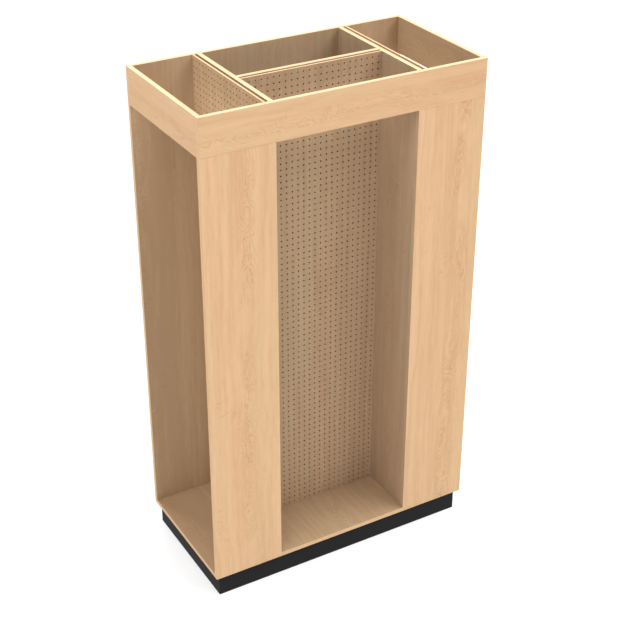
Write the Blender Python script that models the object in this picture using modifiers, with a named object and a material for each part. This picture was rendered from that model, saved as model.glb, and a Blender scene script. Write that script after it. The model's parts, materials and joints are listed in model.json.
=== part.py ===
"""Pegboard display stand: an open maple-faced case on a recessed black base.

The case is 48 in wide, 24 in deep and 84 in high. Two dividers and a centre divider split it into a
front bay, two side bays and a closed rear cavity, all open at the top. A sheet of pegboard stands half
an inch in front of each divider, on horizontal battens that lie between its rows of holes.

Frame: +X right, +Y to the rear, +Z up, origin on the floor under the middle of the case. Metres.
"""

import math

import bmesh
import bpy
from mathutils import Matrix, Vector

INCH = 0.0254

# Driving dimensions
CASE_WIDTH = 48 * INCH
CASE_DEPTH = 24 * INCH
CASE_HEIGHT = 84 * INCH
PANEL = 0.75 * INCH
BASE_HEIGHT = 4 * INCH
BASE_INSET = 0.75 * INCH
HEADER_HEIGHT = 6 * INCH
STILE_WIDTH = 12 * INCH
PEGBOARD = 0.25 * INCH
HOOK_GAP = 0.5 * INCH
FIT = 0.0003

# The pegboards' hole grid, which the battens keep clear of
HOLE_PITCH = 1 * INCH
LOWEST_HOLE_ROW = 5.285 * INCH
BATTEN_HEIGHT = 0.625 * INCH
BATTEN_ROWS = (0, 26, 51, 77)

# Base frame
CROSS_RAIL_OFFSET = 8 * INCH
CROSS_RAIL_CLEARANCE = 0.25 * INCH
CLEAT = 0.75 * INCH
CLEAT_LENGTH = 14 * INCH
SCREW_SPACING = 5 * INCH
BLOCK_WIDTH = 2.5 * INCH
BLOCK_CLEARANCE = 0.0125

# Fasteners
DOWEL_RADIUS = 0.004
DOWEL_LENGTH = 0.038
DOWEL_FROM_STILE_EDGE = 2.5 * INCH
SCREW_RADIUS = 0.0021
SCREW_LENGTH = 0.031
SCREW_HEAD_RADIUS = 0.0045
SCREW_HEAD_HEIGHT = 0.0028

# Levelling glides
GLIDE_LIFT = 0.0015
GLIDE_FOOT_RADIUS = 0.0155
GLIDE_FOOT_HEIGHT = 0.008
GLIDE_STEM_RADIUS = 0.0047
GLIDE_STEM_LENGTH = 0.064
INSERT_FLANGE_RADIUS = 0.011
INSERT_FLANGE_HEIGHT = 0.0015
INSERT_BARREL_RADIUS = 0.0066
INSERT_BARREL_HEIGHT = 0.012

ROUND_SIDES = 24
DRILL_SIDES = 16
DRILL_OVERRUN = 0.002

# Finishes: colour, roughness, metallic
FINISHES = {
    "maple": ((0.78, 0.53, 0.32, 1), 0.45, 0.0),
    "pegboard": ((0.76, 0.52, 0.32, 1), 0.50, 0.0),
    "black_laminate": ((0.022, 0.022, 0.024, 1), 0.45, 0.0),
    "bare_wood": ((0.62, 0.43, 0.26, 1), 0.70, 0.0),
    "zinc": ((0.62, 0.63, 0.64, 1), 0.35, 1.0),
    "nylon": ((0.05, 0.05, 0.05, 1), 0.50, 0.0),
}

# Planes that several pieces share
HALF_WIDTH = CASE_WIDTH / 2
HALF_DEPTH = CASE_DEPTH / 2
INNER_DEPTH = HALF_DEPTH - PANEL
HEADER_BOTTOM = CASE_HEIGHT - HEADER_HEIGHT
DECK_TOP = BASE_HEIGHT + PANEL
HALF_BAY = HALF_WIDTH - STILE_WIDTH
DIVIDER_OUTER = HALF_BAY + PANEL
BASE_HALF_WIDTH = HALF_WIDTH - BASE_INSET
BASE_HALF_DEPTH = HALF_DEPTH - BASE_INSET


def clear_scene():
    """Remove what the file holds before the stand is made."""
    for existing in list(bpy.data.objects):
        bpy.data.objects.remove(existing)


def make_collection(name):
    """A collection under the scene's own."""
    collection = bpy.data.collections.new(name)
    bpy.context.scene.collection.children.link(collection)
    return collection


def make_material(name, finish):
    """A Principled material with a finish's colour, roughness and metallic value."""
    colour, roughness, metallic = FINISHES[finish]
    material = bpy.data.materials.new(name)
    material.use_nodes = True
    shader = material.node_tree.nodes["Principled BSDF"]
    shader.inputs["Base Color"].default_value = colour
    shader.inputs["Roughness"].default_value = roughness
    shader.inputs["Metallic"].default_value = metallic
    material.diffuse_color = colour
    return material


def add_object(name, mesh, collection, finish=None, location=(0, 0, 0)):
    """Link a mesh as an object, with a material of its own where it has a finish."""
    piece = bpy.data.objects.new(name, mesh)
    piece.location = location
    collection.objects.link(piece)
    if finish:
        mesh.materials.append(make_material(f"{name}_{finish}", finish))
    return piece


def box_mesh(name, size):
    """A box of the given size about its own middle."""
    mesh = bpy.data.meshes.new(name)
    shape = bmesh.new()
    bmesh.ops.create_cube(shape, size=1, matrix=Matrix.Diagonal((*size, 1)))
    shape.to_mesh(mesh)
    shape.free()
    return mesh


def board(name, low, high, finish):
    """A board between two opposite corners."""
    low, high = Vector(low), Vector(high)
    return add_object(name, box_mesh(name, high - low), PIECES, finish, (low + high) / 2)


def mirrored_boards(pattern, low, high, finish):
    """A board on the left, as given, and its mirror image on the right."""
    left = board(pattern.format("left"), low, high, finish)
    right = board(pattern.format("right"), (-high[0], low[1], low[2]), (-low[0], high[1], high[2]), finish)
    return left, right


def turned(name, profile, location, finish, closed=False):
    """A piece turned about Z, from (radius, height) points that run down its outer side."""
    mesh = bpy.data.meshes.new(name)
    count = len(profile)
    edges = [(i, (i + 1) % count) for i in range(count if closed else count - 1)]
    mesh.from_pydata([(radius, 0, height) for radius, height in profile], edges, [])
    piece = add_object(name, mesh, PIECES, finish, location)
    screw = piece.modifiers.new("Turn", "SCREW")
    screw.axis = "Z"
    screw.angle = math.tau
    screw.steps = ROUND_SIDES
    screw.render_steps = ROUND_SIDES
    screw.use_merge_vertices = True
    screw.merge_threshold = 0.00001
    return piece


def cut(piece, cutter):
    """Take a cutter's shape away from a piece."""
    cutter.hide_render = True
    cutter.display_type = "WIRE"
    boolean = piece.modifiers.new(f"Cut {cutter.name}", "BOOLEAN")
    boolean.operation = "DIFFERENCE"
    boolean.solver = "EXACT"
    boolean.object = cutter


def drill(pieces, name, centre, radius, bottom, top):
    """Drill an upright hole between two heights through every piece in a list."""
    mesh = bpy.data.meshes.new(name)
    shape = bmesh.new()
    bmesh.ops.create_cone(shape, cap_ends=True, segments=DRILL_SIDES, radius1=radius, radius2=radius,
                          depth=top - bottom)
    shape.to_mesh(mesh)
    shape.free()
    bit = add_object(name, mesh, CUTTERS, location=(centre[0], centre[1], (bottom + top) / 2))
    for piece in pieces:
        cut(piece, bit)


def make_shell():
    """Headers, stiles and rear panel: the outside of the case above the base."""
    header = board("front_header", (-HALF_WIDTH, -HALF_DEPTH, HEADER_BOTTOM),
                   (HALF_WIDTH, -INNER_DEPTH, CASE_HEIGHT), "maple")
    stiles = mirrored_boards("front_{}_stile", (-HALF_WIDTH, -HALF_DEPTH, BASE_HEIGHT),
                             (-HALF_BAY, -INNER_DEPTH, HEADER_BOTTOM - FIT), "maple")
    board("rear_panel", (-HALF_WIDTH, INNER_DEPTH, BASE_HEIGHT), (HALF_WIDTH, HALF_DEPTH, CASE_HEIGHT), "maple")
    mirrored_boards("{}_header", (-HALF_WIDTH, -INNER_DEPTH + FIT, HEADER_BOTTOM),
                    (-HALF_WIDTH + PANEL, INNER_DEPTH - FIT, CASE_HEIGHT), "maple")
    make_header_dowels(header, stiles)


def make_header_dowels(header, stiles):
    """Two dowels stand in the top of each stile and hold the header."""
    middle_y = -(HALF_DEPTH + INNER_DEPTH) / 2
    outer = HALF_WIDTH - DOWEL_FROM_STILE_EDGE
    inner = HALF_BAY + DOWEL_FROM_STILE_EDGE
    half = DOWEL_LENGTH / 2
    profile = [(0, half), (DOWEL_RADIUS, half), (DOWEL_RADIUS, -half), (0, -half)]
    for side, stile, sign in (("left", stiles[0], -1), ("right", stiles[1], 1)):
        for place, offset in (("outer", outer), ("inner", inner)):
            centre = (sign * offset, middle_y, HEADER_BOTTOM)
            turned(f"{side}_{place}_dowel", profile, centre, "bare_wood")
            drill([header, stile], f"{side}_{place}_dowel_bit", centre, DOWEL_RADIUS + FIT,
                  HEADER_BOTTOM - half - FIT, HEADER_BOTTOM + half + FIT)


def make_deck():
    """The deck runs out between the stiles, so its front corners are notched around them."""
    deck = board("deck", (-HALF_WIDTH, -HALF_DEPTH, BASE_HEIGHT), (HALF_WIDTH, INNER_DEPTH - FIT, DECK_TOP), "maple")
    notch_width = STILE_WIDTH + FIT
    notch_depth = PANEL + FIT
    for side, sign in (("left", -1), ("right", 1)):
        name = f"{side}_notch"
        size = (2 * notch_width, 2 * notch_depth, 4 * PANEL)
        corner = (sign * HALF_WIDTH, -HALF_DEPTH, BASE_HEIGHT)
        cut(deck, add_object(name, box_mesh(name, size), CUTTERS, location=corner))
    return deck


def make_dividers():
    """Upright panels between the bays."""
    bottom = DECK_TOP + FIT
    mirrored_boards("{}_divider", (-DIVIDER_OUTER, -INNER_DEPTH + FIT, bottom),
                    (-HALF_BAY, INNER_DEPTH - FIT, CASE_HEIGHT), "maple")
    board("centre_divider", (-HALF_BAY + FIT, -PANEL, bottom), (HALF_BAY - FIT, 0, CASE_HEIGHT), "maple")


def make_pegboards():
    """One sheet in front of each divider, held off it by battens that lie between rows of holes."""
    bottom = DECK_TOP + FIT
    side_back = DIVIDER_OUTER + HOOK_GAP
    mirrored_boards("{}_pegboard", (-side_back - PEGBOARD, -INNER_DEPTH + FIT, bottom),
                    (-side_back, INNER_DEPTH - FIT, CASE_HEIGHT), "pegboard")
    centre_back = -PANEL - HOOK_GAP
    board("centre_pegboard", (-HALF_BAY + FIT, centre_back - PEGBOARD, bottom),
          (HALF_BAY - FIT, centre_back, CASE_HEIGHT), "pegboard")
    for number, row in enumerate(BATTEN_ROWS, start=1):
        middle = LOWEST_HOLE_ROW + (row + 0.5) * HOLE_PITCH
        low = middle - BATTEN_HEIGHT / 2
        high = middle + BATTEN_HEIGHT / 2
        board(f"centre_batten_{number}", (-HALF_BAY + FIT, centre_back + FIT, low),
              (HALF_BAY - FIT, -PANEL - FIT, high), "bare_wood")
        mirrored_boards(f"{{}}_batten_{number}", (-side_back + FIT, -INNER_DEPTH + FIT, low),
                        (-DIVIDER_OUTER - FIT, INNER_DEPTH - FIT, high), "bare_wood")


def make_base(deck):
    """The recessed base: four rails, two cross rails and two cleats screwed up into the deck."""
    top = BASE_HEIGHT - FIT
    inner_depth = BASE_HALF_DEPTH - PANEL
    for side, sign in (("front", -1), ("rear", 1)):
        y_low, y_high = sorted((sign * BASE_HALF_DEPTH, sign * inner_depth))
        board(f"base_{side}_rail", (-BASE_HALF_WIDTH, y_low, 0), (BASE_HALF_WIDTH, y_high, top), "black_laminate")
        y_low, y_high = sorted((sign * (inner_depth - FIT), sign * (inner_depth - FIT - CLEAT)))
        cleat = board(f"base_{side}_cleat", (-CLEAT_LENGTH / 2, y_low, top - CLEAT),
                      (CLEAT_LENGTH / 2, y_high, top), "bare_wood")
        make_deck_screws(side, cleat, deck, (y_low + y_high) / 2, top - CLEAT)
    mirrored_boards("base_{}_rail", (-BASE_HALF_WIDTH, -inner_depth + FIT, 0),
                    (-BASE_HALF_WIDTH + PANEL, inner_depth - FIT, top), "black_laminate")
    mirrored_boards("base_{}_cross_rail", (-CROSS_RAIL_OFFSET - PANEL, -inner_depth + FIT, CROSS_RAIL_CLEARANCE),
                    (-CROSS_RAIL_OFFSET, inner_depth - FIT, top), "bare_wood")


def make_deck_screws(side, cleat, deck, y, cleat_bottom):
    """Three screws go up through a cleat and into the deck."""
    profile = [
        (0, SCREW_LENGTH),
        (SCREW_RADIUS * 0.4, SCREW_LENGTH - SCREW_RADIUS),
        (SCREW_RADIUS, SCREW_LENGTH - 3 * SCREW_RADIUS),
        (SCREW_RADIUS, 0),
        (SCREW_HEAD_RADIUS, 0),
        (SCREW_HEAD_RADIUS, -SCREW_HEAD_HEIGHT / 2),
        (SCREW_HEAD_RADIUS * 0.7, -SCREW_HEAD_HEIGHT),
        (0, -SCREW_HEAD_HEIGHT),
    ]
    head_seat = cleat_bottom - FIT
    for number, place in enumerate((-1, 0, 1), start=1):
        x = place * SCREW_SPACING
        turned(f"{side}_deck_screw_{number}", profile, (x, y, head_seat), "zinc")
        drill([cleat, deck], f"{side}_deck_screw_bit_{number}", (x, y), SCREW_RADIUS + FIT,
              cleat_bottom - DRILL_OVERRUN, head_seat + SCREW_LENGTH + FIT)


def make_levellers():
    """A block in each corner of the base, with a flanged threaded insert and a screw-in glide."""
    block_bottom = BLOCK_CLEARANCE
    x_outer = BASE_HALF_WIDTH - PANEL - FIT
    y_outer = BASE_HALF_DEPTH - PANEL - FIT
    flange_top = block_bottom - FIT
    flange_bottom = flange_top - INSERT_FLANGE_HEIGHT
    barrel_top = flange_top + INSERT_BARREL_HEIGHT
    bore = GLIDE_STEM_RADIUS + FIT
    insert_profile = [
        (INSERT_BARREL_RADIUS, barrel_top),
        (INSERT_BARREL_RADIUS, flange_top),
        (INSERT_FLANGE_RADIUS, flange_top),
        (INSERT_FLANGE_RADIUS, flange_bottom),
        (bore, flange_bottom),
        (bore, barrel_top),
    ]
    foot_top = GLIDE_LIFT + GLIDE_FOOT_HEIGHT
    stem_top = foot_top + GLIDE_STEM_LENGTH
    chamfer = GLIDE_STEM_RADIUS / 4
    glide_profile = [
        (0, stem_top),
        (GLIDE_STEM_RADIUS - chamfer, stem_top),
        (GLIDE_STEM_RADIUS, stem_top - chamfer),
        (GLIDE_STEM_RADIUS, foot_top),
        (GLIDE_FOOT_RADIUS * 0.6, foot_top),
        (GLIDE_FOOT_RADIUS, foot_top - GLIDE_FOOT_HEIGHT / 2),
        (GLIDE_FOOT_RADIUS, GLIDE_LIFT + chamfer),
        (GLIDE_FOOT_RADIUS - chamfer, GLIDE_LIFT),
        (0, GLIDE_LIFT),
    ]
    for end, y_sign in (("front", -1), ("rear", 1)):
        for side, x_sign in (("left", -1), ("right", 1)):
            x_low, x_high = sorted((x_sign * x_outer, x_sign * (x_outer - BLOCK_WIDTH)))
            y_low, y_high = sorted((y_sign * y_outer, y_sign * (y_outer - BLOCK_WIDTH)))
            block = board(f"{end}_{side}_block", (x_low, y_low, block_bottom),
                          (x_high, y_high, BASE_HEIGHT - FIT), "bare_wood")
            centre = ((x_low + x_high) / 2, (y_low + y_high) / 2, 0)
            drill([block], f"{end}_{side}_stem_bit", centre, GLIDE_STEM_RADIUS + 2 * FIT,
                  block_bottom - DRILL_OVERRUN, stem_top + DRILL_OVERRUN)
            drill([block], f"{end}_{side}_barrel_bit", centre, INSERT_BARREL_RADIUS + 2 * FIT,
                  block_bottom - DRILL_OVERRUN, barrel_top + FIT)
            turned(f"{end}_{side}_insert", insert_profile, centre, "zinc", closed=True)
            turned(f"{end}_{side}_glide", glide_profile, centre, "nylon")


clear_scene()
PIECES = make_collection("pegboard_display_stand")
CUTTERS = make_collection("cutters")
make_shell()
case_deck = make_deck()
make_dividers()
make_pegboards()
make_base(case_deck)
make_levellers()
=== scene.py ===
"""Looks for the pegboard display stand: maple-veneered boards with eased, banded edges, perforated
pegboards and a black laminate base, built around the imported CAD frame. Metres, +X right, +Y to the rear.
"""

import json
import math

import bmesh
import bpy
import numpy as np
from mathutils import Matrix, Vector


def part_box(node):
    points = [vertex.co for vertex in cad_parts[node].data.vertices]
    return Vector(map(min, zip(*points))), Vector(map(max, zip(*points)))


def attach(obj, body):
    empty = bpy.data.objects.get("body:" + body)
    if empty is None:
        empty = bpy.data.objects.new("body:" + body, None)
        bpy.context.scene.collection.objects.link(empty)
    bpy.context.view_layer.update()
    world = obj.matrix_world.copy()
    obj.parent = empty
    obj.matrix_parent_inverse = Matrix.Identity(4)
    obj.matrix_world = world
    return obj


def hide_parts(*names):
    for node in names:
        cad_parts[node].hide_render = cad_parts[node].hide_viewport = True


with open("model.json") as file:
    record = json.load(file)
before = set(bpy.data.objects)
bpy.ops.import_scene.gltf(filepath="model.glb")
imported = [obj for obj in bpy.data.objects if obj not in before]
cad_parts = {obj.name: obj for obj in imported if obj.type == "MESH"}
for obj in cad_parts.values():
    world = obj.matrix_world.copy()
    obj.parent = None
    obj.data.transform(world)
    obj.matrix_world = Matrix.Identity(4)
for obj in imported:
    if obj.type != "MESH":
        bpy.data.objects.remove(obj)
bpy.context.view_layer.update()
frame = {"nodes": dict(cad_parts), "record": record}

INCH = 0.0254

# Rounding of every board's edges
EASE = 0.0006
EASE_SEGMENTS = 3

# Pegboard holes: pitch, radius, sides, the first hole's distance from a board's left edge and from the deck,
# and the least wood beside the last hole
HOLE_PITCH = 1 * INCH
HOLE_RADIUS = 0.125 * INCH
HOLE_SIDES = 12
FIRST_COLUMN = 0.37 * INCH
FIRST_ROW = 0.535 * INCH
LEAST_SIDE = 0.05 * INCH

# Where a pegboard's surfaces lie in its texture map: (width, height, left, bottom) for the broad sides, and
# (left, bottom, width, height) for a hole's wall and for the first of the four edges. An edge fills only a
# share of its width
FRONT_MAP = np.array((0.460, 0.990, 0.005, 0.005))
BACK_MAP = np.array((0.460, 0.990, 0.475, 0.005))
WALL_MAP = (0.945, 0.005, 0.050, 0.030)
EDGE_MAP = (0.945, 0.060, 0.013, 0.930)
EDGE_SHARE = 0.8

# Levelling glides: a nylon foot with a hexagonal collar, on a threaded steel stem. The thread's flanks run
# between two shares of the way from crest to root. Edges stay sharp where they turn by more than SHARP_ANGLE
# degrees
FOOT_HEIGHT = 0.008
FOOT_ROUNDING = 0.0012
FOOT_SIDES = 72
COLLAR_HEIGHT = 0.0035
COLLAR_ACROSS_FLATS = 0.0165
COLLAR_SKIRT = 0.0022
COLLAR_FILLET = 0.0002
COLLAR_CHAMFER = 0.0004
STEM_RADIUS = 0.0047
STEM_CHAMFER = 0.0012
STEM_SIDES = 24
THREAD_PITCH = INCH / 16
THREAD_DEPTH = 0.0009
THREAD_FLANKS = (0.1875, 0.8125)
STEPS_PER_TURN = 6
SHARP_ANGLE = 28

# Painted light and shade over the maple, standing in for how light falls on the stand; the outside takes
# none.
# Painted shade inside the case, on the inner faces, the dividers, the deck and the centre pegboard: darker
# and greyer than outside, its cooler cast offsetting the warm bounce light there. A painted highlight on the
# top edges, palest of all, and painted light on the side pegboards: lighter than the rest inside the case,
# and cooler
OUTER_TINT = (1, 1, 1, 1)
INNER_PAINTED_SHADE = (0.765, 0.843, 0.925, 1)
RIM_PAINTED_HIGHLIGHT = (1.28, 1.34, 1.44, 1)
DIVIDER_PAINTED_SHADE = (0.70, 0.775, 0.86, 1)
DECK_PAINTED_SHADE = (0.69, 0.745, 0.79, 1)
CENTRE_PEGBOARD_PAINTED_SHADE = (0.71, 0.765, 0.82, 1)
SIDE_PEGBOARD_PAINTED_LIGHT = (0.94, 1.00, 1.06, 1)

# Width of a leaf of veneer: wider than any board where one leaf covers the whole face, or 12 in
WHOLE = 10.0
LEAF = 12 * INCH

# Boards: node, grain, outer veneer and inner veneer. A veneer is its heart (its distance across the board
# from the middle), seed, pith depth, figure, leaf width and tone
BOARDS = (
    ("front_header", "X", (-0.012, 3.1, 0.020, 0.85, WHOLE, -0.1), (0.010, 4.2, 0.030, 1.0, WHOLE, 0.0)),
    ("front_left_stile", "Z", (0.028, 8.4, 0.045, 1.1, WHOLE, 0.05), (0.0, 9.1, 0.030, 1.0, WHOLE, 0.0)),
    ("front_right_stile", "Z", (0.060, 12.7, 0.045, 1.2, WHOLE, 0.0), (0.0, 13.3, 0.030, 1.0, WHOLE, 0.0)),
    ("left_header", "Y", (-0.030, 17.2, 0.030, 0.85, WHOLE, -0.1), (0.0, 18.8, 0.030, 1.0, WHOLE, 0.0)),
    # The right header's inner veneer is toned lighter, at 0.8, as painted light over that shaded face
    ("right_header", "Y", (0.020, 21.9, 0.030, 1.0, WHOLE, 0.0), (0.010, 24.4, 0.050, 0.6, WHOLE, 0.8)),
    ("rear_panel", "Z", (0.152, 28.6, 0.040, 1.0, LEAF, 0.0), (0.006, 26.3, 0.040, 0.9, LEAF, 0.0)),
    ("left_divider", "Z", (0.152, 31.5, 0.040, 1.0, LEAF, 0.0), (-0.152, 33.9, 0.040, 0.9, LEAF, 0.0)),
    ("right_divider", "Z", (-0.152, 36.8, 0.040, 1.0, LEAF, 0.0), (0.152, 38.5, 0.040, 0.9, LEAF, 0.0)),
    ("centre_divider", "Z", (0.152, 42.1, 0.040, 1.0, LEAF, 0.0), (-0.152, 44.7, 0.040, 0.9, LEAF, 0.0)),
)
DIVIDERS = ("left_divider", "right_divider", "centre_divider")

# Deck veneers: side, the distance of its heart to the right of the middle, and seed
DECK_VENEERS = (("top", 0.05, 47.6), ("underside", -0.10, 49.2))

# Pegboards: node, the axis that each faces along and which way, seed, heart and painted light and shade:
# painted shade on the centre pegboard, and painted light on the side ones
PEGBOARDS = (
    ("centre_pegboard", "Y", -1, 52.4, 0.06, CENTRE_PEGBOARD_PAINTED_SHADE),
    ("left_pegboard", "X", -1, 57.3, -0.05, SIDE_PEGBOARD_PAINTED_LIGHT),
    ("right_pegboard", "X", 1, 58.9, 0.04, SIDE_PEGBOARD_PAINTED_LIGHT),
)
PEGBOARD_PITH_DEPTH = 0.04
PEGBOARD_FIGURE = 0.85

# Edge banding and bare wood: the seeds of the first axis, and the banding's plainer veneer
BANDING_SEED = 60.0
BANDING_PITH_DEPTH = 0.20
BANDING_FIGURE = 0.5
BARE_WOOD_SEED = 70.0

# Camera, high up in front of the stand's left corner
CAMERA_AZIMUTH = -29.985
CAMERA_ELEVATION = 29.761
CAMERA_PLACE = (-2.46555, -4.28869, 3.88790)
CAMERA_LENS = 79.95
CAMERA_SENSOR = 36
CAMERA_REACH = 100

# Studio lights: azimuth from the front, positive to the right; elevation; strength against a white surface
LIGHTS = (
    ("left", -90, 45, 0.28),
    ("front_left", -45, 50, 0.42),
    ("front_right", 45, 45, 0.54),
    ("right", 90, 45, 0.50),
    ("rear", 180, 45, 0.70),
    ("overhead", 0, 90, 0.10),
)
LIGHT_SPREAD = 40

# Floor and surroundings: the horizon's glow fades to the ceiling's between two sines of elevation
FLOOR_SIZE = 60
FLOOR_DROP = 0.0005
FLOOR_COLOR = (0.40, 0.40, 0.40, 1)
FLOOR_GLOW = 0.57
HORIZON_GLOW = 1.05
HORIZON_EDGE = (0.10, 0.28)
CEILING_GLOW = 0.0

AXES = {"X": Vector((1, 0, 0)), "Y": Vector((0, 1, 0)), "Z": Vector((0, 0, 1))}
NEXT_AXIS = {"X": "Y", "Y": "Z", "Z": "X"}


# ---------------------------------------------------------------- node graphs


class Graph:
    """A short way to write shader nodes: each call adds a node and returns its output."""

    def __init__(self, tree):
        self.tree = tree

    def node(self, kind, **settings):
        node = self.tree.nodes.new(kind)
        for name, value in settings.items():
            setattr(node, name, value)
        return node

    def feed(self, socket, value):
        if isinstance(value, bpy.types.NodeSocket):
            self.tree.links.new(value, socket)
        else:
            socket.default_value = value

    def maths(self, operation, a, b=0.0, clamp=False):
        node = self.node("ShaderNodeMath", operation=operation, use_clamp=clamp)
        self.feed(node.inputs[0], a)
        self.feed(node.inputs[1], b)
        return node.outputs[0]

    def vector(self, x, y, z):
        node = self.node("ShaderNodeCombineXYZ")
        for socket, value in zip(node.inputs, (x, y, z)):
            self.feed(socket, value)
        return node.outputs[0]

    def split(self, vector):
        node = self.node("ShaderNodeSeparateXYZ")
        self.feed(node.inputs[0], vector)
        return node.outputs

    def stretch(self, vector, scales):
        node = self.node("ShaderNodeVectorMath", operation="MULTIPLY")
        self.feed(node.inputs[0], vector)
        self.feed(node.inputs[1], scales)
        return node.outputs[0]

    def noise(self, vector, seed, detail=2.0, roughness=0.5):
        """Smooth noise about 0.5, in four dimensions so that a seed picks the pattern."""
        node = self.node("ShaderNodeTexNoise", noise_dimensions="4D", normalize=True)
        self.feed(node.inputs["Vector"], vector)
        self.feed(node.inputs["W"], seed)
        self.feed(node.inputs["Scale"], 1.0)
        self.feed(node.inputs["Detail"], detail)
        self.feed(node.inputs["Roughness"], roughness)
        return node.outputs[0]

    def noise_along(self, value, detail=2.0, roughness=0.5):
        """Noise that depends on one number only."""
        node = self.node("ShaderNodeTexNoise", noise_dimensions="1D", normalize=True)
        self.feed(node.inputs["W"], value)
        self.feed(node.inputs["Scale"], 1.0)
        self.feed(node.inputs["Detail"], detail)
        self.feed(node.inputs["Roughness"], roughness)
        return node.outputs[0]

    def remap(self, value, low, high, to_low=0.0, to_high=1.0, smooth=False):
        node = self.node("ShaderNodeMapRange")
        node.interpolation_type = "SMOOTHSTEP" if smooth else "LINEAR"
        for socket, number in zip(node.inputs[:5], (value, low, high, to_low, to_high)):
            self.feed(socket, number)
        return node.outputs[0]

    def mix(self, share, first, second, blend="MIX"):
        node = self.node("ShaderNodeMix", data_type="RGBA", blend_type=blend)
        self.feed(node.inputs[0], share)
        self.feed(node.inputs[6], first)
        self.feed(node.inputs[7], second)
        return node.outputs[2]

    def bump(self, height, distance):
        node = self.node("ShaderNodeBump")
        self.feed(node.inputs["Height"], height)
        self.feed(node.inputs["Distance"], distance)
        self.feed(node.inputs["Strength"], 1.0)
        return node.outputs[0]


def new_material(name):
    """An empty Principled material, with the graph to fill and its shader."""
    material = bpy.data.materials.new(name)
    material.use_nodes = True
    shader = material.node_tree.nodes["Principled BSDF"]
    return material, Graph(material.node_tree), shader


def seat(graph, origin, grain, across):
    """World position as distances along the grain, across it and through the board, from an origin."""
    through = grain.cross(across)
    place = graph.node("ShaderNodeTexCoord").outputs["Object"]
    offset = graph.node("ShaderNodeVectorMath", operation="SUBTRACT")
    graph.feed(offset.inputs[0], place)
    graph.feed(offset.inputs[1], origin)
    parts = []
    for axis in (grain, across, through):
        dot = graph.node("ShaderNodeVectorMath", operation="DOT_PRODUCT")
        graph.feed(dot.inputs[0], offset.outputs[0])
        graph.feed(dot.inputs[1], axis)
        parts.append(dot.outputs["Value"])
    return graph.vector(*parts)


# ---------------------------------------------------------------- maple

MAPLE_CREAM = (0.648, 0.428, 0.250, 1)
MAPLE_MEAN = (0.612, 0.396, 0.229, 1)
MAPLE_TAN = (0.572, 0.357, 0.202, 1)
MAPLE_LINE = (0.520, 0.295, 0.155, 1)
MAPLE_RELIEF = 0.00004

# Bands and rings in a metre of wood, how narrow the heart is, and how fast leaves darken outwards
BANDS = 50.0
RINGS = 170.0
HEART_NARROWNESS = 300.0
LEAF_DARKENING = 0.33


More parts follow.
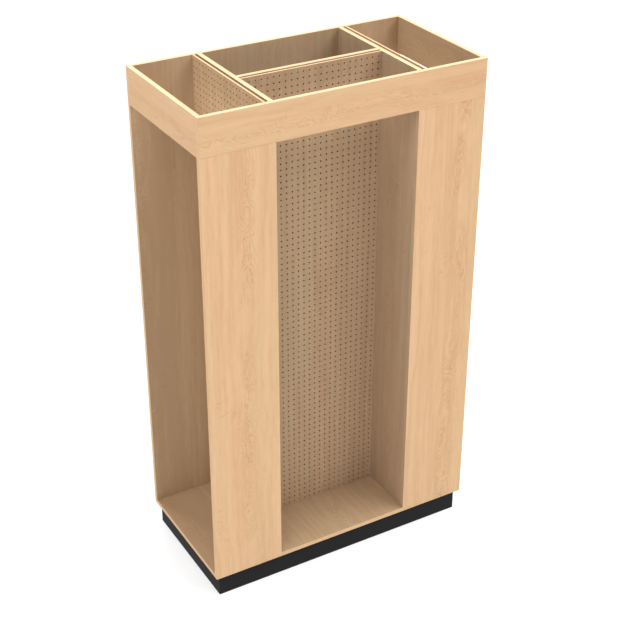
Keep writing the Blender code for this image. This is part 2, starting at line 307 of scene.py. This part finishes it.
def make_maple_group():
    """Flat-sliced maple: growth rings about a pith that rises and falls below the slice, so that they
    run straight at the sides and close into arches and ovals over the heart."""
    group = bpy.data.node_groups.new("flat_sliced_maple", "ShaderNodeTree")
    sockets = {
        "INPUT": {"Place": "Vector", "Seed": "Float", "Pith depth": "Float", "Figure": "Float",
                  "Leaf": "Float", "Tone": "Float", "Tint": "Color"},
        "OUTPUT": {"Color": "Color", "Roughness": "Float", "Height": "Float"},
    }
    for direction, kinds in sockets.items():
        for name, kind in kinds.items():
            group.interface.new_socket(name, in_out=direction, socket_type=f"NodeSocket{kind}")
    graph = Graph(group)
    given = graph.node("NodeGroupInput").outputs
    place, depth, figure, leaf = given["Place"], given["Pith depth"], given["Figure"], given["Leaf"]
    along, across, through = graph.split(place)

    # Leaves of veneer lie side by side, each with its own heart
    number = graph.maths("FLOOR", graph.maths("ADD", graph.maths("DIVIDE", across, leaf), 0.5))
    seed = graph.maths("ADD", given["Seed"], graph.maths("MULTIPLY", number, 3.7))
    across = graph.maths("SUBTRACT", across, graph.maths("MULTIPLY", number, leaf))

    def noise(scales, offset, detail=2.0, roughness=0.5):
        stretched = graph.stretch(place, scales)
        return graph.noise(stretched, graph.maths("ADD", seed, offset), detail, roughness)

    # The heart wanders a little from side to side, and its depth changes along the board
    wander = graph.noise(graph.vector(graph.maths("MULTIPLY", along, 1.3), 0.0, 0.0), seed, detail=1)
    side = graph.maths("ADD", across, graph.remap(wander, 0.0, 1.0, -0.05, 0.05))
    rise = graph.remap(noise((3.2, 3.0, 0.0), 5.0, 2.0), 0.0, 1.0, -0.085, 0.085)
    below = graph.maths("ADD", graph.maths("ADD", depth, rise), through)

    # Distance from the pith, ragged in short waves, most of all over the heart
    side_square = graph.maths("MULTIPLY", side, side)
    ring = graph.maths("SQRT", graph.maths("ADD", side_square, graph.maths("MULTIPLY", below, below)))
    over_heart = graph.maths("POWER", 2.718, graph.maths("MULTIPLY", side_square, -HEART_NARROWNESS))
    wave = graph.remap(noise((17.0, 40.0, 0.0), 11.0, 2.0, 0.5), 0.0, 1.0, -0.014, 0.014)
    wave = graph.maths("MULTIPLY", wave, graph.maths("ADD", graph.maths("MULTIPLY", over_heart, 0.85), 0.15))
    sway = graph.remap(noise((7.0, 16.0, 0.0), 13.0, 1.0), 0.0, 1.0, -0.014, 0.014)
    ring = graph.maths("ADD", graph.maths("ADD", ring, wave), sway)

    # Broad bands of rings, and single rings that show in patches over the heart
    band_place = graph.maths("MULTIPLY", graph.maths("ADD", ring, seed), BANDS)
    bands = graph.noise_along(band_place, detail=3, roughness=0.55)
    late = graph.maths("POWER", graph.maths("FRACT", graph.maths("MULTIPLY", ring, RINGS)), 2.8)
    patches = graph.remap(noise((5.0, 17.0, 0.0), 23.0), 0.32, 0.54, 0.0, 1.0, smooth=True)
    late = graph.maths("MULTIPLY", late, patches)
    late = graph.maths("MULTIPLY", late, graph.maths("ADD", graph.maths("MULTIPLY", over_heart, 0.88), 0.12))

    # Soft drift between creamy and pinkish wood, rare dark curls, and fine fibres and flecks
    drift = noise((0.8, 8.0, 2.0), 31.0)
    streak = noise((1.3, 42.0, 10.0), 33.0, 4.0, 0.68)
    ripple = noise((14.0, 120.0, 10.0), 35.0, 2.0, 0.6)
    hue = noise((0.7, 11.0, 2.0), 39.0, 3.0, 0.55)
    curl = graph.remap(noise((70.0, 30.0, 0.0), 37.0), 0.54, 0.70)
    curl = graph.maths("MULTIPLY", curl, graph.remap(noise((4.0, 14.0, 0.0), 41.0, 1.0), 0.55, 0.70))
    fibre = noise((16.0, 700.0, 700.0), 43.0, 3.0)
    fleck = graph.remap(noise((130.0, 1100.0, 1100.0), 47.0, 1.0), 0.68, 0.78)

    tone = graph.maths("MULTIPLY", graph.remap(bands, 0.25, 0.75, -0.75, 0.75), figure)
    for part, reach in ((drift, 0.95), (streak, 1.45), (ripple, 0.75), (fibre, 0.55)):
        tone = graph.maths("ADD", tone, graph.remap(part, 0.25, 0.75, -reach, reach))
    tone = graph.maths("ADD", tone, given["Tone"])
    darkening = graph.maths("MULTIPLY", graph.maths("MULTIPLY", number, number), LEAF_DARKENING)
    tone = graph.maths("SUBTRACT", tone, darkening)
    color = graph.mix(graph.remap(tone, 0.0, 1.3), MAPLE_MEAN, MAPLE_CREAM)
    color = graph.mix(graph.remap(tone, 0.0, -1.3), color, MAPLE_TAN)
    lines = graph.maths("MULTIPLY", late, graph.maths("MULTIPLY", figure, 0.95))
    lines = graph.maths("ADD", lines, graph.maths("MULTIPLY", curl, 0.50), clamp=True)
    color = graph.mix(lines, color, MAPLE_LINE)
    color = graph.mix(graph.maths("MULTIPLY", fleck, 0.30), color, MAPLE_LINE)
    hue = graph.remap(hue, 0.32, 0.68)
    shift = graph.mix(hue, (1.020, 0.985, 0.985, 1), (0.980, 1.015, 1.000, 1))
    color = graph.mix(1.0, color, shift, blend="MULTIPLY")
    # Painted light and shade: the wood is multiplied by a colour that stands in for how light falls on it
    color = graph.mix(1.0, color, given["Tint"], blend="MULTIPLY")

    made = graph.node("NodeGroupOutput").inputs
    graph.feed(made["Color"], color)
    roughness = graph.remap(graph.maths("ADD", fibre, fleck), 0.3, 1.2, 0.52, 0.62)
    graph.feed(made["Roughness"], roughness)
    graph.feed(made["Height"], graph.maths("SUBTRACT", fibre, graph.maths("ADD", fleck, lines)))
    return group


MAPLE = make_maple_group()


def maple(name, origin, grain, across, seed, depth=0.03, figure=1.0, leaf=WHOLE, tone=0.0, painted_shading=OUTER_TINT):
    """Maple whose grain runs along one axis, with its heart through an origin, under a colour of painted
    light and shade.
    """
    material, graph, shader = new_material(name)
    veneer = graph.node("ShaderNodeGroup", node_tree=MAPLE)
    settings = {"Place": seat(graph, origin, grain, across), "Seed": seed, "Pith depth": depth,
                "Figure": figure, "Leaf": leaf, "Tone": tone, "Tint": painted_shading}
    for socket, value in settings.items():
        graph.feed(veneer.inputs[socket], value)
    graph.feed(shader.inputs["Base Color"], veneer.outputs["Color"])
    graph.feed(shader.inputs["Roughness"], veneer.outputs["Roughness"])
    graph.feed(shader.inputs["Normal"], graph.bump(veneer.outputs["Height"], MAPLE_RELIEF))
    shader.inputs["Specular IOR Level"].default_value = 0.06
    return material


def make_banding():
    """Edge banding along each axis: plainer maple with its grain along the edge, in three copies: plain at
    the sides, with painted shade in the bays and with a painted highlight on the rims.
    """
    origin = Vector((0, 0, 0))
    banding = {}
    for number, (axis, across) in enumerate(NEXT_AXIS.items()):
        for place, painted_shading in (("side", OUTER_TINT), ("bay", INNER_PAINTED_SHADE), ("rim", RIM_PAINTED_HIGHLIGHT)):
            name = f"maple_{place}_banding_{axis.lower()}"
            banding[axis, place] = maple(name, origin, AXES[axis], AXES[across], BANDING_SEED + number,
                                         BANDING_PITH_DEPTH, BANDING_FIGURE, painted_shading=painted_shading)
    return banding


BANDING = make_banding()
BANDING_ORDER = [(axis, place) for place in ("side", "bay", "rim") for axis in "XYZ"]


# ---------------------------------------------------------------- other materials

PEBBLE_RELIEF = 0.00005
WOOD_RELIEF = 0.00008
CORE_RELIEF = 0.0001
NYLON_RELIEF = 0.00003


def black_laminate():
    """Near-black laminate with a fine pebbled face and faint scuffs near the floor."""
    material, graph, shader = new_material("black_laminate")
    place = graph.node("ShaderNodeTexCoord").outputs["Object"]
    pebble = graph.noise(graph.stretch(place, (900.0, 900.0, 900.0)), 3.0, detail=2)
    cloud = graph.noise(graph.stretch(place, (6.0, 6.0, 14.0)), 8.0, detail=3)
    scuff = graph.noise(graph.stretch(place, (40.0, 40.0, 400.0)), 17.0, detail=3)
    scuff = graph.remap(scuff, 0.62, 0.78)
    color = graph.mix(cloud, (0.0140, 0.0140, 0.0142, 1), (0.0190, 0.0190, 0.0193, 1))
    color = graph.mix(graph.maths("MULTIPLY", scuff, 0.20), color, (0.035, 0.035, 0.035, 1))
    roughness = graph.remap(graph.maths("ADD", cloud, scuff), 0.3, 1.4, 0.50, 0.66)
    graph.feed(shader.inputs["Base Color"], color)
    graph.feed(shader.inputs["Roughness"], roughness)
    graph.feed(shader.inputs["Normal"], graph.bump(pebble, PEBBLE_RELIEF))
    shader.inputs["Specular IOR Level"].default_value = 0.045
    return material


def bare_wood(name, grain, across, seed):
    """Unfinished softwood: straight early and late wood with fine fibres."""
    material, graph, shader = new_material(name)
    place = seat(graph, Vector((0, 0, 0)), grain, across)
    _, side, through = graph.split(place)
    bend = graph.noise(graph.stretch(place, (1.5, 10.0, 10.0)), seed, detail=1)
    ring = graph.maths("ADD", graph.maths("ADD", side, through), graph.maths("MULTIPLY", bend, 0.012))
    late = graph.maths("POWER", graph.maths("FRACT", graph.maths("MULTIPLY", ring, 210.0)), 3.0)
    fibre = graph.noise(graph.stretch(place, (30.0, 900.0, 900.0)), seed + 4.0, detail=3)
    color = graph.mix(graph.remap(fibre, 0.3, 0.7), (0.60, 0.40, 0.22, 1), (0.68, 0.48, 0.28, 1))
    color = graph.mix(graph.maths("MULTIPLY", late, 0.5), color, (0.42, 0.22, 0.10, 1))
    graph.feed(shader.inputs["Base Color"], color)
    graph.feed(shader.inputs["Roughness"], graph.remap(fibre, 0.3, 0.7, 0.65, 0.80))
    graph.feed(shader.inputs["Normal"], graph.bump(graph.maths("SUBTRACT", fibre, late), WOOD_RELIEF))
    return material


def hardboard_core():
    """The brown fibre of the board that shows inside its drilled holes."""
    material, graph, shader = new_material("hardboard_core")
    place = graph.node("ShaderNodeTexCoord").outputs["Object"]
    fibre = graph.noise(graph.stretch(place, (500.0, 500.0, 500.0)), 2.0, detail=3)
    color = graph.mix(fibre, (0.16, 0.085, 0.040, 1), (0.26, 0.15, 0.075, 1))
    graph.feed(shader.inputs["Base Color"], color)
    graph.feed(shader.inputs["Normal"], graph.bump(fibre, CORE_RELIEF))
    shader.inputs["Roughness"].default_value = 0.85
    return material


def zinc_plate():
    """Zinc-plated steel, slightly clouded."""
    material, graph, shader = new_material("zinc_plate")
    place = graph.node("ShaderNodeTexCoord").outputs["Object"]
    cloud = graph.noise(graph.stretch(place, (160.0, 160.0, 160.0)), 5.0, detail=4)
    color = graph.mix(cloud, (0.55, 0.56, 0.58, 1), (0.70, 0.71, 0.72, 1))
    graph.feed(shader.inputs["Base Color"], color)
    graph.feed(shader.inputs["Roughness"], graph.remap(cloud, 0.3, 0.7, 0.28, 0.42))
    shader.inputs["Metallic"].default_value = 1.0
    return material


def black_nylon():
    """Moulded nylon with a fine matt texture."""
    material, graph, shader = new_material("black_nylon")
    place = graph.node("ShaderNodeTexCoord").outputs["Object"]
    grain = graph.noise(graph.stretch(place, (1500.0, 1500.0, 1500.0)), 9.0, detail=2)
    color = graph.mix(grain, (0.030, 0.030, 0.031, 1), (0.042, 0.042, 0.044, 1))
    graph.feed(shader.inputs["Base Color"], color)
    graph.feed(shader.inputs["Roughness"], graph.remap(grain, 0.3, 0.7, 0.45, 0.58))
    graph.feed(shader.inputs["Normal"], graph.bump(grain, NYLON_RELIEF))
    return material


# ---------------------------------------------------------------- boards

# An edge is a rim if it slopes up at least this much, and lies in a bay if it faces inwards by this distance
RIM_SLOPE = 0.7
BAY_REACH = -0.05


def finish_piece(piece, nodes):
    """Hand a finished piece to the frame: it rides with the stand and stands for its CAD nodes."""
    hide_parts(*nodes)
    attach(piece, "stand")
    return piece


def link(name, mesh, materials):
    """Link a mesh to the scene with its materials."""
    for material in materials:
        mesh.materials.append(material)
    piece = bpy.data.objects.new(name, mesh)
    bpy.context.scene.collection.objects.link(piece)
    return piece


def ease_edges(shape):
    """Round every edge of a bmesh a little."""
    bmesh.ops.bevel(shape, geom=list(shape.edges), offset=EASE, segments=EASE_SEGMENTS, profile=0.5,
                    affect="EDGES", clamp_overlap=True)


def mesh_from(shape, name):
    """Turn a bmesh into a mesh, and free it."""
    mesh = bpy.data.meshes.new(name)
    shape.to_mesh(mesh)
    shape.free()
    return mesh


def long_axis(edge_size, normal_axis):
    """The axis that an edge face runs along: the longer of the two that lie in it."""
    rest = [axis for axis in range(3) if axis != normal_axis]
    return max(rest, key=lambda axis: edge_size[axis])


def edge_place(middle, normal):
    """Which banding an edge takes: a top edge is a rim, which takes a painted highlight, and one that looks
    into the case lies in a bay, which takes painted shade.
    """
    if normal.z > RIM_SLOPE:
        return "rim"
    outward = middle.x * normal.x + middle.y * normal.y
    return "bay" if outward < BAY_REACH else "side"


def board_from(shape, name, size, thin, outside, veneers):
    """Ease a block's edges, and give its two broad faces their veneers and its edges banding. The outer
    veneer goes on the broad face that looks the same way as the outside direction."""
    ease_edges(shape)
    for face in shape.faces:
        normal_axis = max(range(3), key=lambda axis: abs(face.normal[axis]))
        if normal_axis == thin:
            face.material_index = 0 if face.normal[thin] * outside > 0 else 1
        else:
            place = edge_place(face.calc_center_median(), face.normal)
            run = "XYZ"[long_axis(size, normal_axis)]
            face.material_index = 2 + BANDING_ORDER.index((run, place))
    return link(name, mesh_from(shape, name), veneers + [BANDING[key] for key in BANDING_ORDER])


def block_shape(low, high):
    """A bmesh box between two corners."""
    shape = bmesh.new()
    middle = Matrix.Translation((low + high) / 2)
    bmesh.ops.create_cube(shape, size=1, matrix=middle @ Matrix.Diagonal((*(high - low), 1)))
    return shape


def veneered_board(node, grain, outer, inner):
    """The finished board for a CAD node, with veneers as BOARDS describes them. Its outer face takes no
    painted shading and its inner face painted shade; a divider stands inside the case, so both its faces
    take the divider's painted shade."""
    low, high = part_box(node)
    size = high - low
    middle = (low + high) / 2
    thin = min(range(3), key=lambda axis: size[axis])
    across = AXES[next(axis for axis in AXES if axis not in ("XYZ"[thin], grain))]
    painted_shadings = (DIVIDER_PAINTED_SHADE, DIVIDER_PAINTED_SHADE) if node in DIVIDERS else (OUTER_TINT, INNER_PAINTED_SHADE)
    veneers = []
    for side, (heart, *veneer), painted_shading in zip(("outer", "inner"), (outer, inner), painted_shadings):
        name = f"maple_{node}_{side}"
        veneers.append(maple(name, middle + heart * across, AXES[grain], across, *veneer, painted_shading))
    outside = middle[thin] or 1
    piece = board_from(block_shape(low, high), f"{node}_board", size, thin, outside, veneers)
    return finish_piece(piece, [node])


def make_case_boards():
    """Every veneered board but the deck."""
    for node, grain, outer, inner in BOARDS:
        veneered_board(node, grain, outer, inner)


def make_deck():
    """The deck, notched round the stiles, with its grain from front to back."""
    low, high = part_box("deck")
    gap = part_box("front_header")[0].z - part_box("front_left_stile")[1].z
    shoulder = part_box("front_left_stile")[1].y + gap
    tongue_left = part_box("front_left_stile")[1].x + gap
    tongue_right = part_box("front_right_stile")[0].x - gap
    outline = [
        (low.x, shoulder), (tongue_left, shoulder), (tongue_left, low.y), (tongue_right, low.y),
        (tongue_right, shoulder), (high.x, shoulder), (high.x, high.y), (low.x, high.y),
    ]
    shape = bmesh.new()
    floor = shape.faces.new([shape.verts.new((x, y, low.z)) for x, y in outline])
    raised = bmesh.ops.extrude_face_region(shape, geom=[floor])
    top = [item for item in raised["geom"] if isinstance(item, bmesh.types.BMVert)]
    bmesh.ops.translate(shape, verts=top, vec=(0, 0, high.z - low.z))
    bmesh.ops.recalc_face_normals(shape, faces=shape.faces)
    veneers = []
    # Both deck veneers take the deck's painted shade
    for side, heart, seed in DECK_VENEERS:
        origin = Vector((heart, 0, high.z))
        veneers.append(maple(f"maple_deck_{side}", origin, AXES["Y"], AXES["X"], seed, leaf=LEAF,
                             painted_shading=DECK_PAINTED_SHADE))
    piece = board_from(shape, "deck_board", high - low, 2, 1, veneers)
    return finish_piece(piece, ["deck"])


# ---------------------------------------------------------------- pegboards


def hole_places(start, end):
    """Hole centres a pitch apart, from the first to the last whose rim lies within the end."""
    count = int((end - start - HOLE_RADIUS) / HOLE_PITCH) + 1
    return start + HOLE_PITCH * np.arange(count)


def cell_lines(low, high, centres):
    """The lines between holes, with the board's own edges as the first and last."""
    return np.concatenate([[low], (centres[:-1] + centres[1:]) / 2, [high]])


def perforated_mesh(name, width, height, thickness, columns, rows):
    """A closed sheet with round holes, lying in its own plane: across, up, through.

    Each hole sits in a cell of the sheet, which is joined to the hole's rim by triangles and a quad on
    each of its four sides. Faces are marked 0 on the broad sides, 1 in the holes, 2 below, 3 at the sides
    and 4 on the rim. The two broad sides share the map between them; the hole walls lie over each other.
    """
    across = cell_lines(0, width, columns)
    up = cell_lines(0, height, rows)
    grid = np.array([(a, u) for u in up for a in across])
    per_side = HOLE_SIDES // 4
    angles = np.radians(225) + np.arange(HOLE_SIDES) * math.tau / HOLE_SIDES
    rim = HOLE_RADIUS * np.stack([np.cos(angles), np.sin(angles)], axis=1)
    centres = np.array([(a, u) for u in rows for a in columns])
    rims = (centres[:, None, :] + rim[None, :, :]).reshape(-1, 2)
    flat = np.concatenate([grid, rims])
    layer = len(flat)
    points = np.zeros((2 * layer, 3))
    points[:layer, :2] = flat
    points[layer:, :2] = flat
    points[layer:, 2] = thickness

    share = flat / (width, height)
    front_map = (share * FRONT_MAP[:2] + FRONT_MAP[2:]).tolist()
    back_map = (share * BACK_MAP[:2] + BACK_MAP[2:]).tolist()
    faces, marks, maps = [], [], []

    def add_face(mark, corners, places):
        faces.append(corners)
        marks.append(mark)
        maps.extend(places)

    def add_sheet_faces(corners):
        behind = corners[::-1]
        add_face(0, behind, [back_map[corner] for corner in behind])
        add_face(0, [corner + layer for corner in corners], [front_map[corner] for corner in corners])

    for row in range(len(rows)):
        for column in range(len(columns)):
            cell = row * len(across) + column
            corners = (cell, cell + 1, cell + 1 + len(across), cell + len(across))
            first = len(grid) + (row * len(columns) + column) * HOLE_SIDES
            hole = [first + step for step in range(HOLE_SIDES)]
            for side in range(4):
                here, there = corners[side], corners[(side + 1) % 4]
                arc = [hole[(side * per_side + step) % HOLE_SIDES] for step in range(per_side + 1)]
                add_sheet_faces([here, arc[1], arc[0]])
                add_sheet_faces([here, there, arc[2], arc[1]])
                add_sheet_faces([there, arc[3], arc[2]])
            for step in range(HOLE_SIDES):
                a, b = hole[step], hole[(step + 1) % HOLE_SIDES]
                low, high = WALL_MAP[0] + WALL_MAP[2] * np.array((step, step + 1)) / HOLE_SIDES
                bottom, top = WALL_MAP[1], WALL_MAP[1] + WALL_MAP[3]
                places = [(high, bottom), (low, bottom), (low, top), (high, top)]
                add_face(1, [b, a, a + layer, b + layer], places)

    # The four edges, each run anticlockwise as seen from in front
    across_run, up_run = np.arange(len(across)), np.arange(len(up)) * len(across)
    edges = (
        (2, across_run), (3, up_run + len(across) - 1),
        (4, (up_run[-1] + across_run)[::-1]), (3, up_run[::-1]),
    )
    for number, (mark, run) in enumerate(edges):
        left = EDGE_MAP[0] + number * EDGE_MAP[2]
        right = left + EDGE_SHARE * EDGE_MAP[2]
        for step, (a, b) in enumerate(zip(run[:-1].tolist(), run[1:].tolist())):
            low, high = EDGE_MAP[1] + EDGE_MAP[3] * np.array((step, step + 1)) / (len(run) - 1)
            places = [(left, low), (left, high), (right, high), (right, low)]
            add_face(mark, [a, b, b + layer, a + layer], places)

    mesh = bpy.data.meshes.new(name)
    mesh.from_pydata(points.tolist(), [], faces)
    mesh.polygons.foreach_set("material_index", marks)
    bake_map = mesh.uv_layers.new(name="OFBake")
    bake_map.data.foreach_set("uv", np.array(maps, dtype=np.float32).ravel())
    return mesh


def pegboard(node, front_axis, front_sign, seed, heart, painted_shading):
    """The perforated sheet for a CAD node. It faces along one axis, with its holes set out from the
    left edge as seen from in front."""
    low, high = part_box(node)
    through = AXES[front_axis] * front_sign
    across = AXES["Z"].cross(through)
    rising = [axis == 2 or across[axis] > 0 or through[axis] > 0 for axis in range(3)]
    corner = Vector([(low if rising[axis] else high)[axis] for axis in range(3)])
    size = high - low
    width = abs(size.dot(across))
    thickness = abs(size.dot(through))
    deck_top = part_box("deck")[1].z
    columns = hole_places(FIRST_COLUMN, width - LEAST_SIDE)
    rows = hole_places(deck_top + FIRST_ROW - low.z, size.z)
    mesh = perforated_mesh(f"{node}_sheet", width, size.z, thickness, columns, rows)
    turn = Matrix((across, AXES["Z"], through)).transposed().to_4x4()
    mesh.transform(Matrix.Translation(corner) @ turn)
    middle = (low + high) / 2
    # The face takes the board's painted light and shade, and the top edge the rim banding with its painted
    # highlight
    face = maple(f"maple_{node}", middle + heart * across, AXES["Z"], across, seed,
                 PEGBOARD_PITH_DEPTH, PEGBOARD_FIGURE, painted_shading=painted_shading)
    run = "X" if abs(across.x) > 0.5 else "Y"
    materials = [face, HARDBOARD, BANDING[run, "side"], BANDING["Z", "side"], BANDING[run, "rim"]]
    piece = link(f"{node}_sheet", mesh, materials)
    return finish_piece(piece, [node])


# ---------------------------------------------------------------- base and hardware


def laminate_rail(node, material):
    """A base rail with eased edges."""
    low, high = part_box(node)
    shape = block_shape(low, high)
    ease_edges(shape)
    piece = link(f"{node}_laminated", mesh_from(shape, node), [material])
    return finish_piece(piece, [node])


def turned_piece(name, centre, rows, angles, material):
    """A closed round piece from rows of (height, radius all the way round), from bottom to top."""
    steps = len(angles)
    circle = np.stack([np.cos(angles), np.sin(angles)], axis=1)
    points = [
        (centre.x + x, centre.y + y, height)
        for height, radii in rows
        for x, y in (circle * np.broadcast_to(radii, steps)[:, None]).tolist()
    ]
    last = (len(rows) - 1) * steps
    faces = [list(range(steps))[::-1], list(range(last, last + steps))]
    for row in range(0, last, steps):
        for step in range(steps):
            beside = (step + 1) % steps
            faces.append([row + step, row + beside, row + steps + beside, row + steps + step])
    mesh = bpy.data.meshes.new(name)
    mesh.from_pydata(points, [], faces)
    mesh.shade_smooth()
    mesh.set_sharp_from_angle(angle=math.radians(SHARP_ANGLE))
    return link(name, mesh, [material])


def glide_foot(node, material):
    """A round nylon foot with rounded edges and a hexagonal collar."""
    low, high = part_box(node)
    radius, top = (high.x - low.x) / 2, low.z + FOOT_HEIGHT
    angles = np.arange(FOOT_SIDES) * math.tau / FOOT_SIDES
    collar = COLLAR_ACROSS_FLATS / 2 / np.cos(angles % (math.tau / 6) - math.tau / 12)
    shoulder = top - COLLAR_HEIGHT
    disc_top = shoulder - COLLAR_FILLET
    rounding = [
        (FOOT_ROUNDING * (1 - math.cos(turn)), radius - FOOT_ROUNDING * (1 - math.sin(turn)))
        for turn in np.radians((0, 22.5, 45, 67.5, 90))
    ]
    rows = [(low.z + rise, reach) for rise, reach in rounding]
    rows += [(disc_top - rise, reach) for rise, reach in reversed(rounding)]
    rows += [(disc_top, collar + COLLAR_SKIRT), (shoulder, collar)]
    rows += [(top - COLLAR_CHAMFER, collar), (top, collar - COLLAR_CHAMFER)]
    return turned_piece(f"{node}_foot", (low + high) / 2, rows, angles, material)


def glide_stem(node, material):
    """A steel stem with a helical thread that begins gently above the foot, and a chamfered tip."""
    low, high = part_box(node)
    bottom, top = low.z + FOOT_HEIGHT, high.z
    angles = np.arange(STEM_SIDES) * math.tau / STEM_SIDES
    steps = STEPS_PER_TURN * round((top - bottom) / THREAD_PITCH)
    rows = []
    for height in np.linspace(bottom, top, 1 + steps):
        turns = (height - bottom) / THREAD_PITCH
        from_crest = np.abs(2 * ((turns - angles / math.tau) % 1) - 1)
        groove = np.interp(from_crest, THREAD_FLANKS, (0, 1))
        thread = STEM_RADIUS - THREAD_DEPTH * groove * min(1, turns)
        tip = STEM_RADIUS - max(0, STEM_CHAMFER - (top - height))
        rows.append((height, np.minimum(thread, tip)))
    return turned_piece(f"{node}_stem", (low + high) / 2, rows, angles, material)


def make_glides(zinc, nylon):
    """A foot and a stem for each levelling glide, which move with it."""
    for end in ("front", "rear"):
        for side in ("left", "right"):
            node = f"{end}_{side}_glide"
            for piece, slot in ((glide_foot(node, nylon), "nylon"), (glide_stem(node, zinc), "zinc")):
                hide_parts(node)
                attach(piece, node)


def dress_cad_nodes(zinc):
    """Materials for the CAD pieces that show as they are."""
    woods = {
        axis: bare_wood(f"bare_wood_{axis.lower()}", AXES[axis], AXES[across], BARE_WOOD_SEED + number)
        for number, (axis, across) in enumerate(NEXT_AXIS.items())
    }
    slots = {part["node"]: part["material_slot"] for part in frame["record"]["subparts"]}
    for node, piece in frame["nodes"].items():
        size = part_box(node)[1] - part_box(node)[0]
        longest = "XYZ"[max(range(3), key=lambda axis: size[axis])]
        dressing = {"bare_wood": woods[longest], "zinc": zinc}.get(slots[node])
        if dressing:
            piece.data.materials.clear()
            piece.data.materials.append(dressing)


# ---------------------------------------------------------------- studio


def make_camera():
    """An 80 mm lens on a full-frame sensor, level from side to side."""
    data = bpy.data.cameras.new("camera")
    data.lens = CAMERA_LENS
    data.sensor_width = CAMERA_SENSOR
    data.clip_end = CAMERA_REACH
    camera = bpy.data.objects.new("camera", data)
    camera.location = CAMERA_PLACE
    camera.rotation_euler = (math.radians(90 - CAMERA_ELEVATION), 0, math.radians(CAMERA_AZIMUTH))
    bpy.context.scene.collection.objects.link(camera)
    bpy.context.scene.camera = camera


def make_floor():
    """A plain pale floor, large enough to reach past the edge of any view."""
    shape = bmesh.new()
    bmesh.ops.create_grid(shape, x_segments=1, y_segments=1, size=FLOOR_SIZE)
    material, _, shader = new_material("pale_floor")
    shader.inputs["Base Color"].default_value = FLOOR_COLOR
    shader.inputs["Roughness"].default_value = 0.9
    shader.inputs["Specular IOR Level"].default_value = 0.1
    shader.inputs["Emission Color"].default_value = (1, 1, 1, 1)
    shader.inputs["Emission Strength"].default_value = FLOOR_GLOW
    floor = link("floor", mesh_from(shape, "floor"), [material])
    floor.location.z = -FLOOR_DROP


def make_world():
    """A white horizon that fades to a dark ceiling."""
    world = bpy.data.worlds.new("studio")
    world.use_nodes = True
    bpy.context.scene.world = world
    graph = Graph(world.node_tree)
    height = graph.maths("ABSOLUTE", graph.split(graph.node("ShaderNodeTexCoord").outputs["Generated"])[2])
    glow = graph.remap(height, *HORIZON_EDGE, HORIZON_GLOW, CEILING_GLOW, smooth=True)
    background = world.node_tree.nodes["Background"]
    background.inputs["Color"].default_value = (1, 1, 1, 1)
    graph.feed(background.inputs["Strength"], glow)


def make_lights():
    """Broad soft lights all round the stand, each aimed at it from its azimuth and elevation."""
    for name, azimuth, elevation, strength in LIGHTS:
        data = bpy.data.lights.new(name, "SUN")
        data.energy = strength * math.pi
        data.angle = math.radians(LIGHT_SPREAD)
        light = bpy.data.objects.new(name, data)
        light.rotation_euler = (math.radians(90 - elevation), 0, math.radians(azimuth))
        bpy.context.scene.collection.objects.link(light)


make_camera()
make_case_boards()
make_deck()
HARDBOARD = hardboard_core()
for row in PEGBOARDS:
    pegboard(*row)
LAMINATE = black_laminate()
for rail in ("front", "rear", "left", "right"):
    laminate_rail(f"base_{rail}_rail", LAMINATE)
ZINC = zinc_plate()
make_glides(ZINC, black_nylon())
dress_cad_nodes(ZINC)
make_floor()
make_world()
make_lights()
bpy.context.scene.view_settings.view_transform = "Standard"
